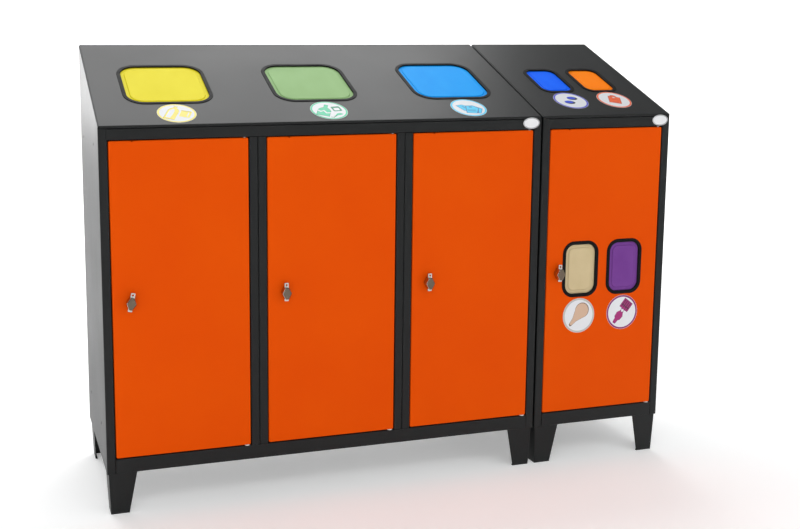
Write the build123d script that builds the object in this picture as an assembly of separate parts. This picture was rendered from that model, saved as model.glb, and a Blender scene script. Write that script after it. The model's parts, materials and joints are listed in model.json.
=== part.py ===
# Recycling bin station: a wide three-compartment cabinet and a narrow one beside it.
# Millimetres, +Z up, +X along the row to the right, front faces -Y.
# The pieces are built from the wide cabinet's lower front left corner, and moved to the
# row's origin, the bottom centre of the bounding box, as they are written.
import os
from math import atan2, cos, hypot, sin, sqrt, tan

from build123d import *

# Overall sizes
compartment_width = 400.0
wide_compartments = 3
cabinet_gap = 5.0  # between the two cabinets, held by spacers
cabinet_depth = 450.0
front_height = 992.0  # floor to the front edge of the sloping top
rear_height = 1193.0
foot_height = 110.0

# Cabinet sheet metal
sheet = 1.0
bend = 1.5  # inner bend radius
stile_width = 22.5  # front face of one post
stile_depth = 25.0  # front face to the door stop lip
stop_lip = 10.0
rear_flange = 18.0
top_rail_height = 35.0  # door opening to the front edge of the top
bottom_rail_height = 38.0
rail_depth = 22.0
rail_top_flange = 12.0
tray_lip = 8.0
tray_rear_flange = 25.0
partition_gap = 0.8  # between the two sheets of a mid post
partition_rear_flange = 12.0
cover_front_lip = 6.0
cover_rear_lip = 20.0
cover_seam = 0.8  # under the cover's front lip
cover_inset = 2.5  # cover edge to the outside of the side panel
side_top_flange = 14.0
side_top_leg = 30.0
fit_gap = 0.3  # clearance between separate sheets
tray_post_gap = 0.5

# Doors
door_gap = 2.0
door_sheet = 1.2
door_depth = 20.0
door_lip = 10.0
door_corner_radius = 4.0
door_edge_radius = 3.0
notch_inset = 58.0  # hanging notch for the paint line, from the door's left edge
notch_radius = 3.2
stiffener_width = 40.0
stiffener_depth = 15.0
stiffener_foot = 12.0
stiffener_end_gap = 12.0

# Door hinges
pin_inset = 9.0  # pin axis to the door's right edge
pin_setback = 6.5  # pin axis to the front face
pin_radius = 3.0
pin_length = 14.0  # beyond the rail flange
pin_head_radius = 3.8
pin_head = 3.0
hinge_clearance = 0.06
washer_radius = 7.0
washer_play = 0.2

# Locks
wide_lock_inset = 45.0  # lock axis to the door's left edge
narrow_lock_inset = 33.0
first_knob_turn = 12.0  # degrees that the first knob is left turned
rosette_radius = 10.5
rosette_thickness = 2.0
barrel_radius = 9.0
barrel_end = 24.0  # behind the front face
lock_nut_radius = 11.0
lock_nut_thickness = 5.0
spindle_radius = 4.5
spindle_end = 36.0
knob_reach = 24.0  # in front of the door face
knob_play = 0.4
boss_half_width = 12.5
boss_half_height = 15.5
boss_tip_half_width = 4.5
boss_chamfer = 1.6
ear_half_width = 5.5
ear_thickness = 6.0
upper_ear_reach = 27.0
lower_ear_reach = 21.0
ear_hole_radius = 2.6
ear_corner_radius = 2.0
cam_thickness = 3.0
cam_stop_gap = 2.0  # cam to the door stop lip
cam_half_width = 8.0
cam_tip_half_width = 5.5
cam_overlap = 12.5  # how far the locked cam reaches behind the lip

# Deposit openings: cut-out width, length and corner radius, and the centres on the sheet
wide_cut = (226.0, 224.0, 50.0)
narrow_cut = (102.0, 149.0, 30.0)
wide_cut_rise = 231.5  # up the slope from the front edge to the cut-out's centre
narrow_cut_rise = 224.0
narrow_cut_pitch = 140.0
door_cut_height = 560.5  # floor to the centre of the door's cut-outs
trim_outside = 5.5
trim_inside = 4.5
trim_lip = 1.5  # trim thickness on each side of the sheet

# Flaps
flap_overlap = 9.0
flap_thickness = 2.5
flap_play = 0.5  # flap rim to the trim
panel_rise = 2.4
panel_inset = 9.0
panel_draft = 2.2
hinge_offset = 15.0  # cut-out edge to the flap's pivot
knuckle_radius = 6.0
knuckle_length = 20.0
rod_radius = 3.0
rod_head_radius = 4.5
rod_head = 1.5
bracket_play = 1.0
bracket_thickness = 2.0
bracket_half_length = 9.0
bracket_below_rod = 8.0
bracket_foot = 5.0
spring_outer_radius = 5.6
spring_inner_radius = 4.2
spring_length = 18.0

# Labels and plates
label_radius = 50.0
label_thickness = 0.5
wide_label_rise = 60.0
wide_label_shifts = (4.0, 7.0, 7.0)
narrow_label_rise = 92.0
narrow_label_shift = 3.0
door_label_height = 426.5
badge_radii = (24.5, 15.0)
badge_thickness = 1.2
badge_inset = 31.5

# Joining holes and bolts
joining_radius = 4.5  # the holes that the next cabinet in a row would use
bolted_radius = 4.2  # the holes that already hold the joining bolts
joining_front = 110.0
joining_rear = 80.0
joining_rise = 100.0  # above the body's underside
joining_drop = 52.0  # below the front height
bolt_radius = 4.0
bolt_head_radius = 7.0
bolt_head = 5.0
bolt_end = 5.0
spacer_radius = 9.0
spacer_bore = 4.3

# Feet
foot_sheet = 2.0
foot_top_inset = 4.0
foot_bottom_inset = 8.0
foot_top_width = 73.0
foot_bottom_width = 48.0
foot_plate = 3.0
glide_thickness = 3.0
glide_wall = 6.0

# Bins and shelf
bin_wall = 2.5
bin_rim = 6.0
bin_rim_thickness = 4.0
bin_draft = 10.0  # narrowing of a bin towards its floor, on each side
bin_corner_radius = 20.0
bin_side_clearance = 10.0
bin_front_clearance = 25.0
bin_rear_clearance = 20.0
bin_flap_clearance = 30.0
narrow_bin_gap = 8.0
narrow_bin_corner_radius = 14.0
shelf_clearance = 40.0  # shelf above the door flaps' pivots
shelf_lip = 20.0

# Sizes that follow
wide_width = compartment_width * wide_compartments
narrow_width = compartment_width
narrow_left = wide_width + cabinet_gap
overall_width = narrow_left + narrow_width
slope_angle = atan2(rear_height - front_height, cabinet_depth)
slope_length = hypot(rear_height - front_height, cabinet_depth)
opening_bottom = foot_height + bottom_rail_height
opening_top = front_height - top_rail_height
door_width = compartment_width - 2 * (stile_width + door_gap)
door_bottom = opening_bottom + door_gap
door_top = opening_top - door_gap
door_left = stile_width + door_gap
door_right = door_left + door_width
pin_x = door_right - pin_inset
lock_height = (door_bottom + door_top) / 2
outer_bend = bend + sheet
rail_top = front_height - cover_front_lip - cover_seam
floor_top = foot_height + sheet
back_front = cabinet_depth - 2 * sheet  # front face of the back panel
flap_top = -(sheet + trim_lip + flap_play)
pivot_drop = flap_top - knuckle_radius
cam_front = stile_depth + sheet + cam_stop_gap
bin_front = cam_front + bin_front_clearance
narrow_centres = [narrow_width / 2 + side * narrow_cut_pitch / 2 for side in (-1, 1)]

slope = Plane(origin=(0, 0, front_height), x_dir=(1, 0, 0), z_dir=(0, -sin(slope_angle), cos(slope_angle)))
front = Plane(origin=(0, 0, 0), x_dir=(1, 0, 0), z_dir=(0, -1, 0))


def box(x, y, z):
    """A box from three (low, high) pairs."""
    centre = [(low + high) / 2 for low, high in (x, y, z)]
    size = [high - low for low, high in (x, y, z)]
    return Pos(*centre) * Box(*size)


def cylinder(plane, u, v, radius, low, high):
    """A cylinder along the plane's normal, from low to high above it."""
    return plane.location * Pos(u, v, (low + high) / 2) * Cylinder(radius, high - low)


def rounded_face(corners):
    """A face from (u, v, radius) corners, with tangent arcs where the radius isn't zero."""
    starts, edges = [], []
    for i, (u, v, radius) in enumerate(corners):
        here = Vector(u, v)
        back = (Vector(*corners[i - 1][:2]) - here).normalized()
        ahead = (Vector(*corners[(i + 1) % len(corners)][:2]) - here).normalized()
        half = sqrt(max(0.0, (1 - back.dot(ahead)) / 2))  # sine of half the inner angle
        if radius:
            reach = radius * sqrt(1 - half * half) / half
            middle = here + (back + ahead).normalized() * (radius / half - radius)
            edges.append(Edge.make_three_point_arc(here + back * reach, middle, here + ahead * reach))
            starts.append((here + back * reach, here + ahead * reach))
        else:
            starts.append((here, here))
    for i, (_, leave) in enumerate(starts):
        arrive = starts[(i + 1) % len(starts)][0]
        if (arrive - leave).length > 1e-6:
            edges.append(Edge.make_line(leave, arrive))
    return Face(Wire(Wire.combine(edges)[0].edges()))


def folded_face(skin, thickness=sheet, inner=bend):
    """The section of a folded sheet whose one skin follows the points, with the sheet on their left."""
    points = [Vector(*p) for p in skin]
    runs = [(b - a).normalized() for a, b in zip(points, points[1:])]
    lefts = [Vector(-r.Y, r.X) for r in runs]
    right_side = [(points[0].X, points[0].Y, 0.0)]
    first = points[0] + lefts[0] * thickness
    left_side = [(first.X, first.Y, 0.0)]
    for i in range(1, len(points) - 1):
        a, b = lefts[i - 1], lefts[i]
        inside = points[i] + (a + b) * (thickness / (1 + a.dot(b)))
        turns_left = runs[i - 1].cross(runs[i]).Z > 0
        tight, wide = inner, inner + thickness
        right_side.append((points[i].X, points[i].Y, wide if turns_left else tight))
        left_side.append((inside.X, inside.Y, tight if turns_left else wide))
    last = points[-1] + lefts[-1] * thickness
    right_side.append((points[-1].X, points[-1].Y, 0.0))
    left_side.append((last.X, last.Y, 0.0))
    return rounded_face(right_side + left_side[::-1])


def along_x(section, low, high):
    """A section drawn in Y and Z, run along X."""
    return extrude(Plane(origin=(low, 0, 0), x_dir=(0, 1, 0), z_dir=(1, 0, 0)) * section, high - low)


def along_z(section, low, high):
    """A section drawn in X and Y, run up Z."""
    return extrude(Pos(0, 0, low) * section, high - low)


def mirrored(shape, width):
    """The same piece at the other side of a cabinet of that width."""
    return mirror(shape, about=Plane(origin=(width / 2, 0, 0), z_dir=(1, 0, 0)))


def under_slope(depth_below, width):
    """Everything from the floor to a plane that far under the top's outer skin."""
    high = depth_below / cos(slope_angle)
    past = cabinet_depth * 1.2
    corners = [
        (-past + cabinet_depth, 0.0, 0.0),
        (past, 0.0, 0.0),
        (past, front_height - high + past * tan(slope_angle), 0.0),
        (-past + cabinet_depth, front_height - high - (past - cabinet_depth) * tan(slope_angle), 0.0),
    ]
    return along_x(rounded_face(corners), -width, 2 * width)


def joining_points():
    """Height and depth of the four joining holes of a side."""
    depths = (joining_front, cabinet_depth - joining_rear)
    heights = (foot_height + joining_rise, front_height - joining_drop)
    return [(y, z) for y in depths for z in heights]


def post_section(face_width, flange):
    """Side wall, front post face, return and door stop lip, in plan."""
    inner_face = face_width
    skin = [
        (flange, cabinet_depth),
        (0, cabinet_depth),
        (0, 0),
        (inner_face, 0),
        (inner_face, stile_depth),
        (inner_face + stop_lip, stile_depth),
    ]
    return folded_face(skin)


def side_panel(width, hole_radius):
    """The left side of a cabinet: wall, post, rear flange and a flange under the cover."""
    wall = along_z(post_section(stile_width, rear_flange), foot_height, rear_height) & under_slope(
        sheet + outer_bend, width
    )
    skin = [(side_top_flange, -sheet), (0, -sheet), (0, -side_top_leg)]
    down_slope = slope.y_dir * -1
    section = Plane(origin=slope.origin, x_dir=(1, 0, 0), z_dir=down_slope) * folded_face(skin)
    strip = extrude(section, -slope_length)
    strip = strip & box((-1, width), (0, back_front - outer_bend), (0, rear_height))
    reach = stile_depth + sheet + fit_gap
    past = width / 2
    above_rail = box((stile_width - outer_bend, past), (-1, reach), (opening_top, rail_top + past))
    front_lip = box((cover_inset - fit_gap, past), (-1, outer_bend + fit_gap), (rail_top, rear_height))
    rear_low = rear_height - cover_rear_lip - fit_gap
    rear_lip = box(
        (cover_inset - fit_gap, past),
        (cabinet_depth - sheet - fit_gap, cabinet_depth + 1),
        (rear_low, rear_height + 1),
    )
    panel = (wall - above_rail) + strip - front_lip - rear_lip
    for y, z in joining_points():
        panel -= Pos(0, y, z) * Rot(0, 90, 0) * Cylinder(hole_radius, 4 * stile_width)
    return panel


def partition():
    """A mid post: two folded sheets back to back, centred on x = 0."""
    half_gap = partition_gap / 2
    face_width = stile_width - half_gap
    tall = 2 * rear_height
    full = Pos(0, back_front - sheet - cabinet_depth, 0) * along_z(
        post_section(face_width, partition_rear_flange), floor_top, tall
    )
    behind = box((-1, compartment_width), (stile_depth + sheet + fit_gap, cabinet_depth), (0, tall))
    wall = full & behind & under_slope(sheet + fit_gap, compartment_width)
    wall -= box((0, compartment_width), (back_front - outer_bend, cabinet_depth), (0, floor_top + bend))
    skin = [
        (0, cabinet_depth / 2),
        (0, 0),
        (face_width, 0),
        (face_width, stile_depth),
        (face_width + stop_lip, stile_depth),
    ]
    post = along_z(folded_face(skin), opening_bottom, opening_top)
    right = Pos(half_gap, 0, 0) * (wall + post)
    left = mirror(right, about=Plane.YZ)
    return Compound([solid for part in (left, right) for solid in part.solids()])


def back_panel(width):
    """A flat sheet between the sides, in front of their rear flanges."""
    edge = sheet + bend + fit_gap
    top = rear_height - cover_rear_lip / 2
    return box((edge, width - edge), (back_front, back_front + sheet), (foot_height, top))


def floor_tray(width, pins):
    """Floor and bottom rail in one folded sheet."""
    skin = [
        (rail_depth, opening_bottom - tray_lip),
        (rail_depth, opening_bottom),
        (0, opening_bottom),
        (0, foot_height),
        (back_front, foot_height),
        (back_front, foot_height + tray_rear_flange),
    ]
    tray = along_x(folded_face(skin), sheet + fit_gap, width - sheet - fit_gap)
    behind = stile_depth + sheet + tray_post_gap
    post = box((0, stile_width + tray_post_gap), (-1, behind), (0, opening_top))
    post += box(
        (0, stile_width + stop_lip + tray_post_gap), (stile_depth - tray_post_gap, behind), (0, opening_top)
    )
    tray = tray - post - mirrored(post, width)
    for x in pins:
        tray -= Pos(x, pin_setback, opening_bottom) * Cylinder(pin_radius, 4 * sheet)
    return tray


def top_rail(width, pins):
    """The channel over the doors, which carries the upper hinge pins."""
    skin = [(rail_top_flange, rail_top), (0, rail_top), (0, opening_top), (rail_depth, opening_top)]
    edge = stile_width - outer_bend
    rail = along_x(folded_face(skin), edge, width - edge)
    for x in pins:
        rail -= Pos(x, pin_setback, opening_top) * Cylinder(pin_radius, 4 * sheet)
    return rail


def top_cover(width, cut, rise, centres):
    """The sloping top with its deposit openings."""
    skin = [
        (cabinet_depth, rear_height - cover_rear_lip),
        (cabinet_depth, rear_height),
        (0, front_height),
        (0, front_height - cover_front_lip),
    ]
    cover = along_x(folded_face(skin), cover_inset, width - cover_inset)
    for x in centres:
        cover -= cut_out(slope, x, rise, cut)
    return cover


def cut_out(plane, u, v, cut, grow=0.0, low=-10.0, high=10.0):
    """The rounded opening as a prism, optionally larger than the cut-out all round."""
    wide, long, radius = cut
    outline = RectangleRounded(wide + 2 * grow, long + 2 * grow, radius + grow)
    return plane.location * Pos(u, v, low) * extrude(outline, high - low)


def opening_trim(plane, u, v, cut, thickness):
    """Edge trim pushed over the cut edge, a U in section."""
    low, high = -(thickness + trim_lip), trim_lip
    ring = cut_out(plane, u, v, cut, trim_outside, low, high)
    ring = ring - cut_out(plane, u, v, cut, -trim_inside, 2 * low, 2 * high)
    ring = fillet(ring.faces().sort_by(plane_axis(plane))[-1].edges(), trim_lip * 0.6)
    groove = cut_out(plane, u, v, cut, 2 * trim_outside, -thickness, 0) - cut_out(
        plane, u, v, cut, 0.0, -thickness, 0
    )
    return ring - groove


def plane_axis(plane):
    """The plane's normal as a sorting axis."""
    return Axis(plane.origin, plane.z_dir)


def flap(plane, u, v, cut):
    """A moulded flap under the opening, with its raised panel and two hinge knuckles."""
    wide, long, radius = cut
    drop = -(sheet + trim_lip + flap_play)
    rim = cut_out(plane, u, v, cut, flap_overlap, drop - flap_thickness, drop)
    outer = -(trim_inside + panel_inset)
    inner = outer - panel_draft
    foot, head = (
        plane.location
        * Pos(u, v, drop + lift)
        * RectangleRounded(wide + 2 * grow, long + 2 * grow, radius + grow)
        for grow, lift in ((outer, 0.0), (inner, panel_rise))
    )
    body = rim + loft(Sketch() + [foot, head], ruled=True)
    pivot = (long / 2 + hinge_offset, drop - knuckle_radius)
    half = wide / 2 + flap_overlap
    for side in (-1, 1):
        middle = side * (half - knuckle_length / 2)
        tab = box(
            (middle - knuckle_length / 2, middle + knuckle_length / 2),
            (0, pivot[0]),
            (drop - flap_thickness, drop),
        ) - box((-half, half), (0, long / 2 - radius), (-100, 100))
        knuckle = Pos(middle, *pivot) * Rot(0, 90, 0) * Cylinder(knuckle_radius, knuckle_length)
        body += plane.location * Pos(u, v, 0) * (tab + knuckle)
    bore = Pos(0, *pivot) * Rot(0, 90, 0) * Cylinder(rod_radius + hinge_clearance, 2 * wide)
    return body - plane.location * Pos(u, v, 0) * bore


def flap_pivot(cut):
    """Where a flap's pivot is from the cut-out's centre: along the sheet, and out of it."""
    return cut[1] / 2 + hinge_offset, pivot_drop


def flap_brackets(plane, u, v, cut, thickness):
    """Two ears under the sheet that carry a flap's rod."""
    along, out = flap_pivot(cut)
    near = cut[0] / 2 + flap_overlap + bracket_play
    reach = (along - bracket_half_length, along + bracket_half_length)
    ears = []
    for side in (-1, 1):
        plate = box((near, near + bracket_thickness), reach, (out - bracket_below_rod, -thickness))
        end = near + bracket_thickness + bracket_foot
        foot = box((near, end), reach, (-thickness - bracket_thickness, -thickness))
        ear = plate + foot - Pos(0, along, out) * Rot(0, 90, 0) * Cylinder(rod_radius, 4 * near)
        ear = ear if side > 0 else mirror(ear, about=Plane.YZ)
        ears.append(plane.location * Pos(u, v, 0) * ear)
    return ears


def flap_rod(plane, u, v, cut):
    """A headed rod through both ears."""
    along, out = flap_pivot(cut)
    half = cut[0] / 2 + flap_overlap + bracket_play + bracket_thickness
    rod = Cylinder(rod_radius, 2 * half)
    for side in (-1, 1):
        rod += Pos(0, 0, side * (half + rod_head / 2)) * Cylinder(rod_head_radius, rod_head)
    return plane.location * Pos(u, v + along, out) * Rot(0, 90, 0) * rod


def flap_spring(plane, u, v, cut):
    """The envelope of a torsion spring's coil around the rod."""
    along, out = flap_pivot(cut)
    coil = Cylinder(spring_outer_radius, spring_length) - Cylinder(spring_inner_radius, 2 * spring_length)
    return plane.location * Pos(u, v + along, out) * Rot(0, 90, 0) * coil


def pivot_height(plane, v, cut):
    """Height over the floor of a flap's pivot."""
    along, out = flap_pivot(cut)
    return (plane.location * Pos(0, v + along, out)).position.Z


def hanging_tip(plane, v, cut):
    """The lowest point that a flap's free edge reaches."""
    return pivot_height(plane, v, cut) - hypot(cut[1] + hinge_offset + flap_overlap, knuckle_radius)


def door_panel(cuts, lock_inset):
    """A pan door: skin, four folded edges and a lip all round the back."""
    height = door_top - door_bottom

    def pan(inset, y, lip=0.0):
        shell = box(
            (door_left + inset + lip, door_right - inset - lip),
            y,
            (door_bottom + inset + lip, door_top - inset - lip),
        )
        return fillet(shell.edges().filter_by(Axis.Y), max(0.5, door_corner_radius - inset))

    def rounded(shell, radius):
        return fillet(shell.faces().sort_by(Axis.Y)[0].edges(), radius)

    outer = rounded(pan(0.0, (0, door_depth)), door_edge_radius)
    cavity = rounded(pan(door_sheet, (door_sheet, door_depth - door_sheet)), door_edge_radius - door_sheet)
    window = pan(door_sheet, (0.5 * door_depth, 2 * door_depth), door_lip)
    door = outer - cavity - window
    door -= cylinder(front, door_left + lock_inset, lock_height, barrel_radius, -2 * door_sheet, 1)
    notch = Pos(door_left + notch_inset, 0, door_top) * Rot(90, 0, 0) * Cylinder(notch_radius, door_depth)
    door -= notch
    for z in (door_bottom, door_top):
        door -= Pos(pin_x, pin_setback, z) * Cylinder(pin_radius + hinge_clearance, 4 * door_sheet)
    for x in cuts:
        door -= cut_out(front, x, door_cut_height, narrow_cut, low=-2 * door_sheet)
    return door


def door_stiffener():
    """A hat channel welded down the middle of a door."""
    half = stiffener_width / 2
    skin = [
        (-half - stiffener_foot, door_sheet),
        (-half, door_sheet),
        (-half, door_sheet + stiffener_depth),
        (half, door_sheet + stiffener_depth),
        (half, door_sheet),
        (half + stiffener_foot, door_sheet),
    ]
    section = Pos((door_left + door_right) / 2, 0) * folded_face(skin)
    gap = door_lip + stiffener_end_gap
    return along_z(section, door_bottom + gap, door_top - gap)


def lock_housing(x):
    """Rosette, threaded barrel and inner nut, fixed in the door."""
    barrel = cylinder(front, x, lock_height, barrel_radius, -barrel_end, 0)
    barrel += cylinder(front, x, lock_height, rosette_radius, 0, rosette_thickness)
    nut = RegularPolygon(lock_nut_radius, 6)
    nut_low = -(door_sheet + lock_nut_thickness)
    barrel += front.location * Pos(x, lock_height, nut_low) * extrude(nut, lock_nut_thickness)
    bore = cylinder(front, x, lock_height, spindle_radius + hinge_clearance, -2 * barrel_end, 10)
    return barrel - bore


def knob():
    """Grip, padlock ears and spindle around the lock's axis, in the front plane's own frame."""
    low = rosette_thickness + knob_play
    corners = [
        (-boss_tip_half_width, boss_half_height, 2.5),
        (-boss_half_width, 0, 4.0),
        (-boss_tip_half_width, -boss_half_height, 2.5),
        (boss_tip_half_width, -boss_half_height, 2.5),
        (boss_half_width, 0, 4.0),
        (boss_tip_half_width, boss_half_height, 2.5),
    ]
    boss = Pos(0, 0, low) * extrude(rounded_face(corners), knob_reach - low)
    boss = chamfer(boss.faces().sort_by(Axis.Z)[-1].edges(), boss_chamfer)
    ear_low = (low + knob_reach - ear_thickness) / 2
    ear = box(
        (-ear_half_width, ear_half_width),
        (-lower_ear_reach, upper_ear_reach),
        (ear_low, ear_low + ear_thickness),
    )
    ear = fillet(ear.edges().filter_by(Axis.Z), ear_corner_radius)
    eye = (boss_half_height + upper_ear_reach) / 2
    ear -= Pos(0, eye, 0) * Cylinder(ear_hole_radius, 4 * knob_reach)
    spindle = cylinder(Plane.XY, 0, 0, spindle_radius, -spindle_end, low + 1)
    return boss + ear + spindle


def cam(reach):
    """The locking cam, pointing down, fixed near the spindle's inner end."""
    high = -cam_front
    corners = [
        (-cam_half_width, cam_half_width, cam_half_width * 0.9),
        (-cam_half_width, 0, 0.0),
        (-cam_tip_half_width, -reach, 2.0),
        (cam_tip_half_width, -reach, 2.0),
        (cam_half_width, 0, 0.0),
        (cam_half_width, cam_half_width, cam_half_width * 0.9),
    ]
    plate = Pos(0, 0, high - cam_thickness) * extrude(rounded_face(corners), cam_thickness)
    nut = extrude(RegularPolygon(cam_half_width * 0.9, 6), cam_thickness)
    nut = Pos(0, 0, high - 2 * cam_thickness) * nut
    return plate + nut - Cylinder(spindle_radius, 4 * cam_front)


def placed_on_lock(shape, x, turn):
    """A piece of the lock, turned clockwise as seen from the front, at its door's lock axis."""
    return front.location * Pos(x, lock_height, 0) * Rot(0, 0, -turn) * shape


def hinge_pins(x):
    """Headed pins: one up through the bottom rail's flange, one down through the top rail's."""
    lower = Pos(x, pin_setback, opening_bottom - sheet)
    upper = Pos(x, pin_setback, opening_top + sheet)
    shank = Pos(0, 0, (pin_length + sheet) / 2) * Cylinder(pin_radius, pin_length + sheet)
    pin = shank + Pos(0, 0, -pin_head / 2) * Cylinder(pin_head_radius, pin_head)
    return [lower * pin, upper * Rot(180, 0, 0) * pin]


def hinge_washer(x):
    """The nylon washer that carries a door."""
    thickness = door_gap - washer_play
    ring = Cylinder(washer_radius, thickness) - Cylinder(pin_radius + hinge_clearance, 4 * thickness)
    return Pos(x, pin_setback, opening_bottom + thickness / 2) * ring


def label(plane, u, v):
    """A round sticker."""
    return cylinder(plane, u, v, label_radius, 0, label_thickness)


def badge(right):
    """A blank oval plate at the right end of a top rail."""
    low, high = opening_top, front_height
    spot = Pos(right - badge_inset, (low + high) / 2, 0)
    return front.location * spot * extrude(Ellipse(*badge_radii), badge_thickness)


def foot_corner(inset, width, thickness):
    """The section of a foot: an angle of even thickness, its corner towards the front left."""
    a, b, t = inset, inset + width, thickness
    points = [(a, a), (b, a), (b, a + t), (a + t, a + t), (a + t, b), (a, b)]
    return rounded_face([(u, v, 0.0) for u, v in points])


def foot():
    """A tapered corner foot under the front left corner: two faces and a top plate."""
    legs = loft(
        Sketch()
        + [
            Pos(0, 0, glide_thickness) * foot_corner(foot_bottom_inset, foot_bottom_width, foot_sheet),
            Pos(0, 0, foot_height) * foot_corner(foot_top_inset, foot_top_width, foot_sheet),
        ],
        ruled=True,
    )
    top = (foot_top_inset + foot_sheet / 2, foot_top_inset + foot_top_width - foot_sheet)
    return legs + box(top, top, (foot_height - foot_plate, foot_height))


def glide():
    """A plastic strip along the bottom edge of a foot."""
    return extrude(foot_corner(foot_bottom_inset, foot_bottom_width, glide_wall), glide_thickness)


def at_corners(shape, width):
    """Four copies of a corner piece, mirrored to a cabinet's corners."""
    front_pair = [shape, mirrored(shape, width)]
    behind = Plane(origin=(0, cabinet_depth / 2, 0), z_dir=(0, 1, 0))
    return front_pair + [mirror(piece, about=behind) for piece in front_pair]


def joining_bolt(y, z):
    """A bolt, its nut, and the spacer that holds the cabinets apart."""
    turn = Rot(0, 90, 0)
    head_x = wide_width - sheet - bolt_head / 2
    far = narrow_left + sheet
    end = far + bolt_head + bolt_end
    bolt = Pos((head_x + end) / 2, y, z) * turn * Cylinder(bolt_radius, end - head_x)
    bolt += Pos(head_x, y, z) * turn * Cylinder(bolt_head_radius, bolt_head)
    nut = extrude(RegularPolygon(bolt_head_radius, 6), bolt_head) - Cylinder(bolt_radius, 4 * bolt_head)
    ring = Cylinder(spacer_radius, cabinet_gap) - Cylinder(spacer_bore, 2 * cabinet_gap)
    spacer = Pos(wide_width + cabinet_gap / 2, y, z) * turn * ring
    return [bolt, Pos(far, y, z) * turn * nut, spacer]


def waste_bin(x, width, floor, top, radius):
    """An open plastic bin with a rim, centred on x."""
    depth = back_front - bin_rear_clearance - bin_front
    middle = bin_front + depth / 2

    def outline(shrink, z):
        section = RectangleRounded(width - 2 * shrink, depth - 2 * shrink, max(2.0, radius - shrink / 2))
        return Pos(x, middle, z) * section

    outer = loft(Sketch() + [outline(bin_rim + bin_draft, floor), outline(bin_rim, top)], ruled=True)
    wall = bin_rim + bin_wall
    hollow = loft(
        Sketch() + [outline(wall + bin_draft, floor + bin_wall), outline(wall, top + fit_gap)],
        ruled=True,
    )
    rim = extrude(outline(0.0, top - bin_rim_thickness), bin_rim_thickness)
    return outer + rim - hollow


def shelf():
    """The narrow cabinet's shelf between its upper and lower bins."""
    top = shelf_top
    front_edge = bin_front - bin_front_clearance / 2
    skin = [
        (back_front, top - shelf_lip),
        (back_front, top),
        (front_edge, top),
        (front_edge, top - shelf_lip),
    ]
    return along_x(folded_face(skin), sheet + fit_gap, narrow_width - sheet - fit_gap)


shelf_top = pivot_height(front, door_cut_height, narrow_cut) + shelf_clearance


def write(name, shapes):
    """Moves a piece to the row's frame and writes its STEP file."""
    solids = [solid for shape in shapes for solid in shape.solids()]
    home = Pos(-overall_width / 2, -(cabinet_depth - knob_reach) / 2, 0)
    moved = [home * solid for solid in solids]
    export_step(moved[0] if len(moved) == 1 else Compound(moved), f"parts/{name}.step")


def write_cabinet(name, left, compartments, cut, rise, centres):
    """The fixed sheet metal of one cabinet."""
    width = compartments * compartment_width
    pins = [n * compartment_width + pin_x for n in range(compartments)]
    outer, inner = side_panel(width, joining_radius), side_panel(width, bolted_radius)
    left_side, right_side = (inner, outer) if left else (outer, inner)
    shift = Pos(left, 0, 0)
    write(f"{name}_left_side", [shift * left_side])
    write(f"{name}_right_side", [shift * mirrored(right_side, width)])
    write(f"{name}_back_panel", [shift * back_panel(width)])
    write(f"{name}_floor_tray", [shift * floor_tray(width, pins)])
    write(f"{name}_top_rail", [shift * top_rail(width, pins)])
    write(f"{name}_top_cover", [shift * top_cover(width, cut, rise, centres)])


def write_doors():
    """Each door's panel, stiffener and lock."""
    for n in range(wide_compartments + 1):
        name = f"door_{n + 1}"
        narrow = n == wide_compartments
        left = narrow_left if narrow else n * compartment_width
        inset = narrow_lock_inset if narrow else wide_lock_inset
        turn = 0.0 if n else first_knob_turn
        shift = Pos(left, 0, 0)
        lock_x = door_left + inset
        write(f"{name}_panel", [shift * door_panel(narrow_centres if narrow else [], inset)])
        if not narrow:
            write(f"{name}_stiffener", [shift * door_stiffener()])
        write(f"{name}_lock_housing", [shift * lock_housing(lock_x)])
        write(f"{name}_knob", [placed_on_lock(knob(), left + lock_x, turn)])
        reach = lock_x - stile_width - stop_lip + cam_overlap
        write(f"{name}_cam", [placed_on_lock(cam(reach), left + lock_x, turn)])


def write_flaps():
    """Every deposit opening's flap, trim, hinge and label."""
    wide_centres = [(n + 0.5) * compartment_width for n in range(wide_compartments)]
    openings = [(slope, x, wide_cut_rise, wide_cut) for x in wide_centres]
    openings += [(slope, narrow_left + x, narrow_cut_rise, narrow_cut) for x in narrow_centres]
    in_door = [(front, narrow_left + x, door_cut_height, narrow_cut) for x in narrow_centres]
    colours = ("yellow", "green", "sky", "blue", "orange", "beige", "purple")
    for colour, place in zip(colours, openings + in_door):
        write(f"{colour}_flap", [flap(*place)])
    for prefix, places, skin in (("top", openings, sheet), ("door", in_door, door_sheet)):
        write(f"{prefix}_opening_trims", [opening_trim(*place, skin) for place in places])
        write(f"{prefix}_flap_brackets", [ear for place in places for ear in flap_brackets(*place, skin)])
        write(f"{prefix}_flap_rods", [flap_rod(*place) for place in places])
        write(f"{prefix}_flap_springs", [flap_spring(*place) for place in places])
    labels = [label(slope, x + shift, wide_label_rise) for x, shift in zip(wide_centres, wide_label_shifts)]
    labels += [label(slope, narrow_left + x + narrow_label_shift, narrow_label_rise) for x in narrow_centres]
    write("top_labels", labels)
    write("door_labels", [label(front, narrow_left + x, door_label_height) for x in narrow_centres])


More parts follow.
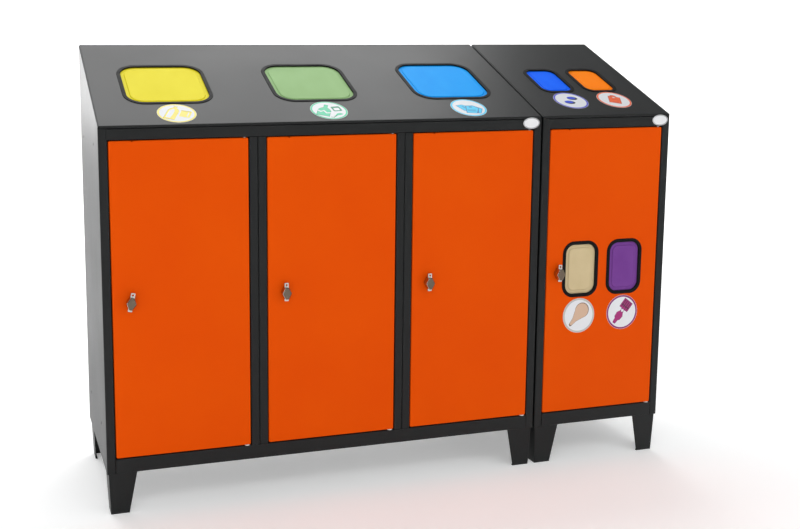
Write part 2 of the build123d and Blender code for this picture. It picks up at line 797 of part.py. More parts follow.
def write_bins():
    """The bins that stand in the compartments."""
    clear = compartment_width - 2 * (stile_width + stop_lip + bin_side_clearance)
    wide_top = hanging_tip(slope, wide_cut_rise, wide_cut) - bin_flap_clearance
    wide_bins = [
        waste_bin((n + 0.5) * compartment_width, clear, floor_top, wide_top, bin_corner_radius)
        for n in range(wide_compartments)
    ]
    write("wide_bins", wide_bins)
    width = narrow_cut_pitch - narrow_bin_gap
    upper_top = hanging_tip(slope, narrow_cut_rise, narrow_cut) - bin_flap_clearance
    lower_top = hanging_tip(front, door_cut_height, narrow_cut) - bin_flap_clearance
    for name, floor, top in (("upper", shelf_top, upper_top), ("lower", floor_top, lower_top)):
        pair = [
            waste_bin(narrow_left + x, width, floor, top, narrow_bin_corner_radius) for x in narrow_centres
        ]
        write(f"narrow_{name}_bins", pair)


def write_fasteners():
    """Feet, pins, washers, bolts and plates."""
    pin_places = [n * compartment_width + pin_x for n in range(wide_compartments)] + [narrow_left + pin_x]
    write("door_hinge_pins", [pin for x in pin_places for pin in hinge_pins(x)])
    write("door_hinge_washers", [hinge_washer(x) for x in pin_places])
    shift = Pos(narrow_left, 0, 0)
    for name, piece in (("feet", foot()), ("foot_glides", glide())):
        under_wide = at_corners(piece, wide_width)
        write(name, under_wide + [shift * copy for copy in at_corners(piece, narrow_width)])
    write("cabinet_joining_bolts", [part for y, z in joining_points() for part in joining_bolt(y, z)])
    write("blank_badges", [badge(wide_width), badge(overall_width)])


def build():
    """Writes every piece."""
    os.makedirs("parts", exist_ok=True)
    wide_centres = [(n + 0.5) * compartment_width for n in range(wide_compartments)]
    write_cabinet("wide", 0.0, wide_compartments, wide_cut, wide_cut_rise, wide_centres)
    write_cabinet("narrow", narrow_left, 1, narrow_cut, narrow_cut_rise, narrow_centres)
    for n in range(1, wide_compartments):
        write(f"wide_partition_{n}", [Pos(n * compartment_width, 0, 0) * partition()])
    write("narrow_shelf", [Pos(narrow_left, 0, 0) * shelf()])
    write_doors()
    write_flaps()
    write_bins()
    write_fasteners()


build()
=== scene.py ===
# Recycling bin station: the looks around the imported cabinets, doors and flaps. Metres, +Z up, doors face -Y.
import json
import math
import bmesh
import bpy
from mathutils import Matrix, Vector

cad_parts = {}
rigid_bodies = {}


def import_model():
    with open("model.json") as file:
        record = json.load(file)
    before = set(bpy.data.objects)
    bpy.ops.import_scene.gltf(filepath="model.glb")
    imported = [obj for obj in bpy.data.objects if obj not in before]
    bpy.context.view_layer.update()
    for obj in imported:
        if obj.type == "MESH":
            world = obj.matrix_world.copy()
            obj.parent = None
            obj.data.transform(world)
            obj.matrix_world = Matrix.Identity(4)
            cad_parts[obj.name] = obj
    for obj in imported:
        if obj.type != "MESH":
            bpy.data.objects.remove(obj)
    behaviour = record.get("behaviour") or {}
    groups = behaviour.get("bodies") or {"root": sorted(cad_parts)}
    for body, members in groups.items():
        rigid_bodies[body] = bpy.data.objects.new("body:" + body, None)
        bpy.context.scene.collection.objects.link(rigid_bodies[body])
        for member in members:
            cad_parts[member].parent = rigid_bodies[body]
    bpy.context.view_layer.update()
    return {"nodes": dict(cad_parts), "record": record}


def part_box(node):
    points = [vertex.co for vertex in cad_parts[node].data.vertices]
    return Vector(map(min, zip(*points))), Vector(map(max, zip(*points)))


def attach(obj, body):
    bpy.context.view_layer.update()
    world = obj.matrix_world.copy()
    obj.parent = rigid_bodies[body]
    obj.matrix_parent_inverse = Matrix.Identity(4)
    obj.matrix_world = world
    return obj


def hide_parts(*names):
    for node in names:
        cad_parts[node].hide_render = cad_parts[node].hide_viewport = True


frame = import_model()
up = Vector((0, 0, 1))
outwards = Vector((0, -1, 0))  # the way the doors face
mm = 0.001


def hue(red, green, blue):
    # an 8-bit screen colour as a linear one
    def straighten(channel):
        share = channel / 255
        return share / 12.92 if share <= 0.04045 else ((share + 0.055) / 1.055) ** 2.4
    return (straighten(red), straighten(green), straighten(blue), 1)


# finishes
class Signal:
    # wraps a socket, so that a sum or a product of values adds its Math nodes
    def __init__(self, finish, socket):
        self.finish, self.socket = finish, socket

    def maths(self, operation, first, second):
        return self.finish.add("ShaderNodeMath", {"operation": operation}, {0: first, 1: second})

    def __add__(self, other):
        return self.maths("ADD", self, other)

    def __mul__(self, other):
        return self.maths("MULTIPLY", self, other)

    def __sub__(self, other):
        return self.maths("SUBTRACT", self, other)

    __radd__, __rmul__ = __add__, __mul__


class Finish:
    def __init__(self, name):
        self.material = bpy.data.materials.new(name)
        self.material.use_nodes = True
        self.tree = self.material.node_tree
        self.tree.nodes.clear()
        self.place = self.add("ShaderNodeTexCoord", out="Object")

    def add(self, kind, settings=None, values=None, out=0):
        node = self.tree.nodes.new(kind)
        for key, value in (settings or {}).items():
            setattr(node, key, value)
        for key, value in (values or {}).items():
            if isinstance(value, Signal):
                self.tree.links.new(value.socket, node.inputs[key])
            else:
                node.inputs[key].default_value = value
        return Signal(self, node.outputs[out])

    def noise(self, grain, detail=2.0, stretch=(1, 1, 1), rough=0.5):
        # mottle with features about one grain across
        place = self.place
        if stretch != (1, 1, 1):
            place = self.add("ShaderNodeMapping", values={"Vector": place, "Scale": stretch})
        values = {"Vector": place, "Scale": 1 / grain, "Detail": detail, "Roughness": rough}
        return self.add("ShaderNodeTexNoise", {"normalize": True}, values, out="Fac")

    def blend(self, share, first, second):
        values = {"Factor": share, 6: first, 7: second}
        return self.add("ShaderNodeMix", {"data_type": "RGBA"}, values, out=2)

    def bump(self, height, distance, strength=1.0, under=None):
        values = {"Height": height, "Distance": distance, "Strength": strength}
        if under is not None:
            values["Normal"] = under
        return self.add("ShaderNodeBump", values=values)

    def done(self, **sockets):
        # socket names are spelt together, such as baseColor for Base Color
        shader = self.tree.nodes.new("ShaderNodeBsdfPrincipled")
        spelt = {socket.name.replace(" ", "").lower(): socket for socket in shader.inputs}
        for name, value in sockets.items():
            socket = spelt[name.lower()]
            if isinstance(value, Signal):
                self.tree.links.new(value.socket, socket)
            else:
                socket.default_value = value
        output = self.tree.nodes.new("ShaderNodeOutputMaterial")
        self.tree.links.new(shader.outputs[0], output.inputs["Surface"])
        return self.material


def powderCoat(name, coat):
    # sprayed and baked coat: fine texture, a slow orange peel under it, and cloudy gloss
    finish = Finish(name)
    fine = finish.noise(coat["grain"], 3.0)
    peel = finish.noise(coat["peel"], 1.0)
    cloud = finish.noise(coat["cloud"], 3.0)
    speck = finish.noise(coat["grain"] * 2.5, 2.0)
    share = (cloud - 0.35) * 2.0 * coat["mottle"] + speck * coat["speckle"]
    tone = finish.blend(share, coat["colour"], coat["light"])
    rough = coat["roughness"] + (cloud - 0.5) * 0.10 + (fine - 0.5) * 0.16
    folded = finish.add("ShaderNodeBevel", {"samples": 4}, {"Radius": coat["edge"]})
    normal = finish.bump(fine * coat["texture"] + peel * (1 - coat["texture"]), coat["depth"], 0.6, folded)
    return finish.done(baseColor=tone, roughness=rough, normal=normal, specularIORLevel=coat["shine"])


framePaint = {"colour": (0.0040, 0.0048, 0.0050, 1), "light": (0.0100, 0.0112, 0.0114, 1),
              "grain": 0.8 * mm, "peel": 3 * mm, "cloud": 0.25, "depth": 0.12 * mm, "edge": 2.6 * mm,
              "texture": 0.6, "mottle": 0.5, "speckle": 0.35,
              "roughness": 0.40, "shine": 0.26}
doorPaint = {"colour": (0.722, 0.070, 0.0, 1), "light": (0.778, 0.094, 0.0002, 1),
             "grain": 0.6 * mm, "peel": 3.5 * mm, "cloud": 0.25, "depth": 0.10 * mm, "edge": 1.2 * mm,
             "texture": 0.25, "mottle": 0.5, "speckle": 0.2,
             "roughness": 0.42, "shine": 0.04}


def mouldedPlastic(name, colour, deep, roughness=0.36, grain=0.7 * mm, shine=0.5):
    # spark-textured moulding with a slight flow mottle
    finish = Finish(name)
    spark = finish.noise(grain, 2.0)
    flow = finish.noise(0.06, 2.0, stretch=(1, 0.4, 1))
    tone = finish.blend((flow - 0.3) * 1.4, colour, deep)
    normal = finish.bump(spark, 0.05 * mm, 0.7)
    rough = roughness + (spark - 0.5) * 0.2 + (flow - 0.5) * 0.08
    return finish.done(baseColor=tone, roughness=rough, normal=normal, specularIORLevel=shine)


def metal(name, colour, dark, roughness, lie=(1, 1, 1), grain=1.2 * mm, relief=0.03 * mm):
    # plated or drawn metal: hairlines along one way, cloudy patches of plating
    finish = Finish(name)
    lines = finish.noise(grain, 3.0, stretch=lie)
    patches = finish.noise(9 * mm, 2.0)
    tone = finish.blend(patches, dark, colour)
    normal = finish.bump(lines, relief, 0.6)
    rough = roughness + (lines - 0.5) * 0.14 + (patches - 0.5) * 0.1
    return finish.done(baseColor=tone, metallic=1.0, roughness=rough, normal=normal)


def rubber(name, colour, dusty):
    finish = Finish(name)
    pores = finish.noise(0.5 * mm, 3.0)
    dust = finish.noise(18 * mm, 4.0)
    tone = finish.blend((dust - 0.45) * 1.2, colour, dusty)
    normal = finish.bump(pores, 0.06 * mm, 0.8)
    rough = 0.55 + (dust - 0.5) * 0.25
    return finish.done(baseColor=tone, roughness=rough, normal=normal, specularIORLevel=0.12)


def printedFilm(name):
    # gloss film that takes its inks from the piece's own colours
    finish = Finish(name)
    ink = finish.add("ShaderNodeAttribute", {"attribute_name": "ink"}, out="Color")
    dots = finish.noise(0.35 * mm, 1.0)
    waves = finish.noise(14 * mm, 1.0)
    shade = finish.blend(dots * 0.10, ink, finish.blend(0.5, ink, (0.75, 0.76, 0.78, 1)))
    return finish.done(baseColor=shade, roughness=0.34 + (waves - 0.5) * 0.10,
                       normal=finish.bump(waves, 0.02 * mm, 0.3), specularIORLevel=0.3)


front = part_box("door_2_knob")[0].y
knob = {"faceBack": front + 1.3 * mm, "faceFront": front + 0.6 * mm}  # the flat of the knob's boss, where a brown painted reflection is laid over the chrome


def castChrome():
    # plated zinc casting: soft dents of the casting under the plate, and fingerprints in its gloss; the boss's
    # flat is painted brown as a painted reflection
    finish = Finish("knobChrome")
    dents = finish.noise(5 * mm, 2.0)
    prints = finish.noise(2.2 * mm, 4.0, stretch=(1, 1, 2.5))
    plate = finish.blend(dents, (0.34, 0.33, 0.31, 1), (0.66, 0.65, 0.62, 1))
    depth = finish.add("ShaderNodeSeparateXYZ", values={0: finish.place}, out="Y")
    span = {0: depth, 1: knob["faceBack"], 2: knob["faceFront"], 3: 0.0, 4: 1.0}
    face = finish.add("ShaderNodeMapRange", values=span)
    # the boss's flat takes a brown painted reflection in place of the plate's tone, with fingerprints in it
    tone = finish.blend(face, plate, finish.blend(prints, (0.115, 0.090, 0.066, 1), (0.180, 0.142, 0.110, 1)))
    return finish.done(baseColor=tone, metallic=1.0, roughness=0.13 + (prints - 0.4) * 0.18,
                       normal=finish.bump(dents, 0.5 * mm, 0.5))


flapColours = {
    "yellow": (hue(241, 227, 42), hue(233, 217, 30)),
    "green": (hue(155, 193, 133), hue(145, 182, 122)),
    "sky": (hue(14, 165, 250), hue(0, 151, 245)),
    "blue": (hue(0, 106, 255), hue(0, 92, 246)),
    "orange": (hue(255, 134, 0), hue(255, 124, 0)),
    "beige": (hue(205, 187, 148), hue(193, 174, 134)),
    "purple": (hue(119, 67, 147), hue(106, 56, 134)),
}
finishes = {
    "frame_paint": powderCoat("framePowderCoat", framePaint),
    "door_paint": powderCoat("doorPowderCoat", doorPaint),
    "chrome": castChrome(),
    "zinc_steel": metal("zincPlate", (0.62, 0.63, 0.66, 1), (0.44, 0.45, 0.47, 1), 0.30),
    "spring_steel": metal("springWire", (0.40, 0.39, 0.38, 1), (0.24, 0.23, 0.22, 1), 0.32, lie=(0.3, 1, 1)),
    "white_nylon": mouldedPlastic("whiteNylon", (0.80, 0.79, 0.75, 1), (0.72, 0.71, 0.66, 1), 0.42,
                                  0.4 * mm),
    "glide_rubber": rubber("glideRubber", (0.018, 0.018, 0.019, 1), (0.06, 0.058, 0.055, 1)),
    "black_rubber": rubber("edgeTrimRubber", (0.0025, 0.0025, 0.003, 1), (0.008, 0.008, 0.008, 1)),
    "badge_white": mouldedPlastic("badgeEnamel", (0.80, 0.81, 0.82, 1), (0.72, 0.73, 0.75, 1), 0.2,
                                  0.5 * mm),
    "label_film": printedFilm("printedFilm"),
    "bin_plastic": mouldedPlastic("binPlastic", (0.060, 0.062, 0.066, 1), (0.046, 0.048, 0.052, 1), 0.45,
                                  1.0 * mm),
}
for colour, (face, deep) in flapColours.items():
    finishes[colour + "_plastic"] = mouldedPlastic(colour + "FlapPlastic", face, deep, 0.5, 0.8 * mm, 0.07)
slotOf = {part["node"]: part["material_slot"] for part in frame["record"]["subparts"]}
for node, cadObject in frame["nodes"].items():
    cadObject.data.materials.clear()
    cadObject.data.materials.append(finishes[slotOf[node]])
print("finishes made:", len(finishes))


# mesh helpers
weldGap = 1e-6  # corners nearer than this are one
facingShare = 0.6  # a face whose normal has this much of a direction faces that way
arcSteps = 6  # points along a rounded corner


def finishedPiece(name, mesh, finish, body, stands=()):
    piece = bpy.data.objects.new(name, mesh)
    bpy.context.scene.collection.objects.link(piece)
    if finish is not None:
        mesh.materials.clear()
        mesh.materials.append(finish)
    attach(piece, body)
    if stands:
        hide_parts(*stands)
    return piece


def islandsOf(node):
    # the separate solids of a CAD node, left to right: their extents, and each face's normal, area and middle
    shell = bmesh.new()
    shell.from_mesh(frame["nodes"][node].data)
    bmesh.ops.remove_doubles(shell, verts=shell.verts, dist=weldGap)
    shell.verts.ensure_lookup_table()
    seen, islands = set(), []
    for start in shell.verts:
        if start.index in seen:
            continue
        seen.add(start.index)
        grown, reached = [start], [start]
        while grown:
            for edge in grown.pop().link_edges:
                for vert in edge.verts:
                    if vert.index not in seen:
                        seen.add(vert.index)
                        grown.append(vert)
                        reached.append(vert)
        low = Vector([min(vert.co[axis] for vert in reached) for axis in range(3)])
        high = Vector([max(vert.co[axis] for vert in reached) for axis in range(3)])
        faces = {face for vert in reached for face in vert.link_faces}
        facts = [(face.normal.copy(), face.calc_area(), face.calc_center_median()) for face in faces]
        islands.append({"low": low, "high": high, "centre": (low + high) / 2, "faces": facts})
    shell.free()
    return sorted(islands, key=lambda island: island["centre"].x)


def seatOf(island, facing):
    # where a plate lies: a matrix with x to the right and z off its outer face, and the plate's thickness
    normal = Vector()
    for direction, area, middle in island["faces"]:
        if direction.dot(facing) > facingShare:
            normal += direction * area
    normal.normalize()
    across = Vector((1, 0, 0))
    upwards = normal.cross(across).normalized()
    spans = [middle.dot(normal) for direction, area, middle in island["faces"]]
    centre = island["centre"]
    base = centre + normal * (min(spans) - centre.dot(normal))
    turn = Matrix((across, upwards, normal)).transposed().to_4x4()
    return Matrix.Translation(base) @ turn, max(spans) - min(spans)


def oval(x, y, wide, tall, turn=0, count=40):
    angles = [2 * math.pi * i / count for i in range(count)]
    return moved([(wide * math.cos(angle), tall * math.sin(angle)) for angle in angles], x, y, 1, turn)


def block(x, y, wide, tall, corner=0.0, turn=0):
    if not corner:
        signs = ((-1, -1), (1, -1), (1, 1), (-1, 1))
        return moved([(right * wide / 2, high * tall / 2) for right, high in signs], x, y, 1, turn)
    points = []
    for quarter, (sideX, sideY) in enumerate(((1, 1), (-1, 1), (-1, -1), (1, -1))):
        for step in range(arcSteps + 1):
            angle = math.pi / 2 * (quarter + step / arcSteps)
            points.append((sideX * (wide / 2 - corner) + corner * math.cos(angle),
                           sideY * (tall / 2 - corner) + corner * math.sin(angle)))
    return moved(points, x, y, 1, turn)


def moved(points, x, y, size=1.0, turn=0.0):
    c, s = math.cos(math.radians(turn)) * size, math.sin(math.radians(turn)) * size
    return [(x + c * u - s * v, y + s * u + c * v) for u, v in points]


def stroke(points, width):
    # a line of even width with square ends
    left, right = [], []
    for i, (u, v) in enumerate(points):
        before, after = points[max(i - 1, 0)], points[min(i + 1, len(points) - 1)]
        du, dv = after[0] - before[0], after[1] - before[1]
        length = math.hypot(du, dv)
        left.append((u - dv / length * width / 2, v + du / length * width / 2))
        right.append((u + dv / length * width / 2, v - du / length * width / 2))
    return left + right[::-1]


# stickers
inks = {
    "white": hue(222, 224, 228), "grey": hue(206, 206, 204), "silver": hue(186, 184, 178),
    "yellow": hue(240, 224, 84), "ochre": hue(196, 176, 46), "black": hue(14, 14, 40),
    "green": hue(44, 198, 150), "deepGreen": hue(20, 140, 104),
    "cyan": hue(48, 200, 240), "deepCyan": hue(16, 120, 180),
    "violet": hue(66, 70, 200), "blue": hue(44, 74, 214),
    "red": hue(236, 96, 40), "deepRed": hue(176, 58, 16),
    "flesh": hue(206, 172, 146), "line": hue(120, 96, 84),
    "magenta": hue(160, 8, 108), "plum": hue(128, 0, 104), "deepPlum": hue(62, 8, 50),
}
bottle = [(-.2, -.5), (.2, -.5), (.2, .17), (.13, .33), (.06, .39), (.06, .5), (-.06, .5), (-.06, .39),
          (-.13, .33), (-.2, .17)]
bottleWindow = [(-.145, -.42), (.03, -.42), (.05, -.1), (.05, .15), (.0, .3), (-.06, .3), (-.145, .14)]
wineBottle = [(-.27, -.5), (.27, -.5), (.27, .0), (.2, .14), (.085, .26), (.085, .5), (-.085, .5),
              (-.085, .26), (-.2, .14), (-.27, .0)]
crack = [(-.32, -.10), (-.13, -.22), (-.03, -.09), (.10, -.26), (.32, -.15), (.32, -.08), (.12, -.17),
         (-.02, .01), (-.13, -.12), (-.32, -.02)]
shard = [(-.34, -.1), (-.2, -.02), (-.08, .12), (.1, .13), (.22, .02), (.1, -.05), (-.1, -.07)]
bulbArc = [math.radians(degrees) for degrees in range(-128, 129, 8)]
bulb = [(0.36 * math.sin(angle), 0.30 + 0.36 * math.cos(angle)) for angle in bulbArc]
bulb += [(.115, -.30), (.115, -.40), (-.115, -.40), (-.115, -.30)]
bulbCap = [(-.10, -.42), (.10, -.42), (.07, -.62), (.0, -.66), (-.07, -.62)]
toolHandle = [(-.07, -.62), (.07, -.62), (.11, -.38), (.17, -.34), (.19, -.12), (.10, .02), (-.10, .02),
              (-.19, -.12), (-.17, -.34), (-.11, -.38)]
toolHead = [("plum", block(0, .09, .20, .18)), ("white", block(0, .10, .13, .13, 0, 45)),
            ("plum", block(0, .42, .54, .50, .03)), ("magenta", block(0, .42, .49, .45, .02)),
            *[("deepPlum", block(x, .44, .045, .38)) for x in (-.17, -.06, .06, .17)],
            ("deepPlum", block(0, .34, .49, .04))]
# each sticker: its ring's ink, then marks as an ink and an outline in shares of the radius, lowest first
stickers = [
    ("yellow", [("ochre", moved(bottle, -.20, .06, 1.36, -24)),
                ("yellow", moved(bottle, -.19, .06, 1.28, -24)),
                ("white", moved(bottleWindow, -.20, .06, 1.28, -24)),
                ("yellow", block(.40, -.10, .50, .66, .05, -22)),
                ("ochre", block(.47, .17, .48, .07, .02, -22)),
                ("white", block(.50, -.16, .05, .42, .02, -22))]),
    ("green", [("deepGreen", moved(wineBottle, -.22, .02, 1.22, -24)),
               ("green", moved(wineBottle, -.22, .02, 1.14, -24)),
               ("white", moved(crack, -.22, .02, 1.22, -24)),
               ("deepGreen", block(.42, .14, .46, .50, .08, 6)),
               ("white", block(.42, .10, .28, .24, .05, 6)), ("green", moved(shard, .40, -.46, 1.0, 8)),
               ("deepGreen", stroke([(-.10, -.70), (.02, -.76), (.24, -.56)], .05))]),
    ("cyan", [("deepCyan", [(-.62, .26), (-.24, .34), (.10, .10), (-.10, -.42), (-.38, -.32)]),
              ("cyan", [(-.58, .24), (-.24, .31), (.06, .09), (-.11, -.38), (-.36, -.28)]),
              ("deepCyan", [(-.10, .22), (.28, .24), (.70, -.16), (.42, -.66), (-.34, -.56)]),
              ("cyan", [(-.06, .18), (.26, .21), (.50, -.08), (.20, -.60), (-.29, -.52)]),
              ("cyan", [(.53, -.08), (.66, -.17), (.42, -.61), (.31, -.61)]),
              ("deepCyan", block(.05, -.26, .44, .05, 0, -8)),
              ("deepCyan", block(.03, -.37, .44, .05, 0, -8)),
              ("deepCyan", block(.12, .06, .16, .12, 0, -8)),
              ("deepCyan", block(-.24, .06, .05, .26, 0, 24))]),
    ("violet", [("black", oval(.20, .24, .29, .19, -10)), ("blue", oval(.16, .28, .24, .14, -10)),
                ("black", oval(-.16, -.21, .29, .19, -10)), ("blue", oval(-.20, -.17, .24, .14, -10))]),
    ("red", [("deepRed", block(.03, -.02, .66, .80, .03, -22)), ("red", block(.03, -.02, .61, .75, .03, -22)),
             ("deepRed", oval(.15, .40, .17, .13, -22)), ("red", oval(.15, .39, .14, .10, -22)),
             ("white", oval(.12, .26, .07, .06, -22)), ("deepRed", block(-.06, -.28, .30, .05, 0, -22)),
             ("deepRed", block(.08, -.02, .42, .02, 0, -22))]),
    ("silver", [("line", moved(bulb, -.04, .02, 1.13, -42)),
                ("flesh", moved(bulb, -.04, .02, 1.06, -42)),
                ("line", moved(bulbCap, -.04, .02, 1.13, -42)),
                ("flesh", moved(bulbCap, -.04, .02, 1.02, -42))]),
    ("plum", [("plum", moved(toolHandle, -.04, .0, 1.16, -38)),
              ("magenta", moved(toolHandle, -.04, .0, 1.06, -38)),
              *[(colour, moved(outline, -.04, .0, 1.1, -38)) for colour, outline in toolHead]]),
]
markScale = 1.08  # how far the marks fill their field
filmLayer = 0.05 * mm
stickerSides = 72
stickerBase = [("grey", 1.0), (None, 0.985), ("white", 0.89)]  # inks and radii; None takes the ring's ink


def printSticker(shell, ink, seat, radius, film, ring, marks):
    # stacked layers of film: a disc, its ring, the white field and the marks over it
    layers = [(colour or ring, oval(0, 0, reach, reach, 0, stickerSides)) for colour, reach in stickerBase]
    marks = [(colour, [(u * markScale, v * markScale) for u, v in outline]) for colour, outline in marks]
    for level, (colour, outline) in enumerate(layers + marks):
        base = len(layers)
        top = film + filmLayer * (level if level < base else base + 0.5 * (level - base))
        upper, lower = [[shell.verts.new(seat @ Vector((u * radius, v * radius, height))) for u, v in outline]
                        for height in (top, 0.0 if level == 0 else top - filmLayer)]
        faces = [shell.faces.new(upper), shell.faces.new(lower[::-1])]
        for i in range(len(outline)):
            faces.append(shell.faces.new((lower[i - 1], lower[i], upper[i], upper[i - 1])))
        if signedArea(outline) < 0:
            for face in faces:
                face.normal_flip()
        for face in faces:
            for loop in face.loops:
                loop[ink] = inks[colour]


def signedArea(outline):
    pairs = zip(outline[-1:] + outline[:-1], outline)
    return sum(first[0] * second[1] - second[0] * first[1] for first, second in pairs) / 2


stickerGroups = [("topStickers", "top_labels", "cabinets", up, stickers[:5]),
                 ("doorStickers", "door_labels", "door_4", outwards, stickers[5:])]
for name, node, body, facing, designs in stickerGroups:
    shell = bmesh.new()
    ink = shell.loops.layers.float_color.new("ink")
    for island, (ring, marks) in zip(islandsOf(node), designs):
        seat, film = seatOf(island, facing)
        printSticker(shell, ink, seat, (island["high"].x - island["low"].x) / 2, film, ring, marks)
    mesh = bpy.data.meshes.new(name)
    shell.to_mesh(mesh)
    shell.free()
    finishedPiece(name, mesh, finishes["label_film"], body, [node])
print("stickers made:", len(stickers))

# blank badges: a domed enamel oval inside a dark line and a raised rim
badge = {"rim": 2.3 * mm, "height": 1.3 * mm, "dome": 0.7 * mm, "rings": 10, "around": 64}
badgeRim = metal("badgeRim", (0.16, 0.16, 0.17, 1), (0.08, 0.08, 0.09, 1), 0.3)
lineZone, fieldZone = 0, 1  # the material slots of the dark line and of the enamel
tip = 0.1 * mm  # the smallest half-width of a ring


def badgeRing(shell, seat, wide, tall, inset, height):
    # one oval of corners, as far inside the badge's edge as the inset says
    rim = badge["rim"]
    across = inset * (1 if inset <= rim else (wide - rim) / (tall - rim) * 0.999)
    halfWide, halfTall = max(wide - across, tip), max(tall - inset, tip)
    angles = [2 * math.pi * i / badge["around"] for i in range(badge["around"])]
    return [shell.verts.new(seat @ Vector((halfWide * math.cos(angle), halfTall * math.sin(angle), height)))
            for angle in angles]


shell = bmesh.new()
for island in islandsOf("blank_badges"):
    seat = seatOf(island, outwards)[0]
    wide, tall = (island["high"].x - island["low"].x) / 2, (island["high"].z - island["low"].z) / 2
    rim, height = badge["rim"], badge["height"]
    profile = [(0, 0, fieldZone), (0, height * 0.7, fieldZone), (rim * 0.2, height, fieldZone),
               (rim * 0.5, height, fieldZone), (rim * 0.6, height * 0.6, lineZone),
               (rim, height * 0.5, lineZone)]
    for step in range(1, badge["rings"]):
        share = step / badge["rings"]
        lift = height * 0.55 + badge["dome"] * math.sin(share * math.pi / 2)
        profile.append((rim + (tall - rim) * share, lift, fieldZone))
    rows = [badgeRing(shell, seat, wide, tall, inset, lift) for inset, lift, zone in profile]
    for low, high, (inset, lift, zone) in zip(rows, rows[1:], profile[1:]):
        for i in range(badge["around"]):
            face = shell.faces.new((low[i - 1], low[i], high[i], high[i - 1]))
            face.material_index = zone
            face.smooth = True
    cap = shell.faces.new(rows[-1])
    cap.material_index = fieldZone
    cap.smooth = True
    shell.faces.new(rows[0][::-1])
mesh = bpy.data.meshes.new("badges")
shell.to_mesh(mesh)
shell.free()
mesh.materials.append(badgeRim)
mesh.materials.append(finishes["badge_white"])
finishedPiece("badges", mesh, None, "cabinets", ["blank_badges"])
print("badges made")


# Geometry Nodes
class Builder:
    # a Geometry Nodes tree with named inputs
    def __init__(self, name, inputs):
        self.tree = bpy.data.node_groups.new(name, "GeometryNodeTree")
        self.ids = {}
        self.tree.interface.new_socket("Geometry", in_out="INPUT", socket_type="NodeSocketGeometry")
        for label, kind in inputs.items():
            socket = self.tree.interface.new_socket(label, in_out="INPUT", socket_type=kind)
            self.ids[label] = socket.identifier
        self.tree.interface.new_socket("Geometry", in_out="OUTPUT", socket_type="NodeSocketGeometry")
        self.source = self.tree.nodes.new("NodeGroupInput").outputs

    def add(self, kind, settings=None, values=None, out=0):
        node = self.tree.nodes.new(kind)
        for key, value in (settings or {}).items():
            setattr(node, key, value)
        for key, value in (values or {}).items():
            if isinstance(value, bpy.types.NodeSocket):
                self.tree.links.new(value, node.inputs[key])
            else:
                node.inputs[key].default_value = value
        return node.outputs[out]

    def finish(self, geometry):
        whole = self.add("GeometryNodeRealizeInstances", values={"Geometry": geometry})
        smooth = self.add("GeometryNodeSetShadeSmooth", values={"Geometry": whole})
        coat = {"Geometry": smooth, "Material": self.source["Material"]}
        painted = self.add("GeometryNodeSetMaterial", values=coat)
        output = self.tree.nodes.new("NodeGroupOutput")
        self.tree.links.new(painted, output.inputs[0])
        return self


def grownMesh(name, base, builder, values):
    # runs a tree on a base mesh and returns the plain result
    carrier = bpy.data.objects.new(name + "Base", base)
    bpy.context.scene.collection.objects.link(carrier)
    modifier = carrier.modifiers.new(builder.tree.name, "NODES")
    modifier.node_group = builder.tree
    for label, value in values.items():
        modifier[builder.ids[label]] = value
    graph = bpy.context.evaluated_depsgraph_get()
    mesh = bpy.data.meshes.new_from_object(carrier.evaluated_get(graph), depsgraph=graph)
    carrier.modifiers.clear()
    bpy.data.objects.remove(carrier)
    mesh.name = name
    return mesh


def pointMesh(name, lines):
    # polylines as loose edges, or single points
    mesh = bpy.data.meshes.new(name)
    verts = [tuple(point) for line in lines for point in line]
    edges, start = [], 0
    for line in lines:
        edges += [(start + i, start + i + 1) for i in range(len(line) - 1)]
        start += len(line)
    mesh.from_pydata(verts, edges, [])
    return mesh


def coilTree():
    # a close-wound coil along X at each point
    sizes = {label: "NodeSocketFloat" for label in ("Radius", "Wire", "Length", "Turns")}
    tree = Builder("coilSpring", {**sizes, "Material": "NodeSocketMaterial"})
    source = tree.source
    shape = {"Resolution": 20, "Rotations": source["Turns"], "Height": source["Length"],
             "Start Radius": source["Radius"], "End Radius": source["Radius"]}
    spiral = tree.add("GeometryNodeCurveSpiral", values=shape)
    halfLength = tree.add("ShaderNodeMath", {"operation": "MULTIPLY"}, {0: source["Length"], 1: -0.5})
    shift = tree.add("ShaderNodeCombineXYZ", values={"X": halfLength})
    lying = {"Geometry": spiral, "Rotation": (0, math.pi / 2, 0), "Translation": shift}
    laid = tree.add("GeometryNodeTransform", values=lying)
    section = tree.add("GeometryNodeCurvePrimitiveCircle", values={"Resolution": 8, "Radius": source["Wire"]})
    swept = {"Curve": laid, "Profile Curve": section, "Fill Caps": True}
    tube = tree.add("GeometryNodeCurveToMesh", values=swept)
    placed = tree.add("GeometryNodeInstanceOnPoints", values={"Points": source["Geometry"], "Instance": tube})
    return tree.finish(placed)


def dotTree():
    # low domed heads, evenly spaced along lines
    sizes = {label: "NodeSocketFloat" for label in ("Pitch", "Radius", "Height")}
    tree = Builder("headRow", {**sizes, "Turn": "NodeSocketVector", "Material": "NodeSocketMaterial"})
    source = tree.source
    line = tree.add("GeometryNodeMeshToCurve", values={"Mesh": source["Geometry"]})
    paces = {"Curve": line, "Length": source["Pitch"]}
    spaced = tree.add("GeometryNodeResampleCurve", {"mode": "LENGTH"}, paces)
    ball = tree.add("GeometryNodeMeshUVSphere", values={"Segments": 16, "Rings": 8, "Radius": 1.0})
    stretch = {"X": source["Radius"], "Y": source["Radius"], "Z": source["Height"]}
    size = tree.add("ShaderNodeCombineXYZ", values=stretch)
    dome = tree.add("GeometryNodeTransform", values={"Geometry": ball, "Scale": size})
    spots = {"Points": spaced, "Instance": dome, "Rotation": source["Turn"]}
    placed = tree.add("GeometryNodeInstanceOnPoints", values=spots)
    return tree.finish(placed)


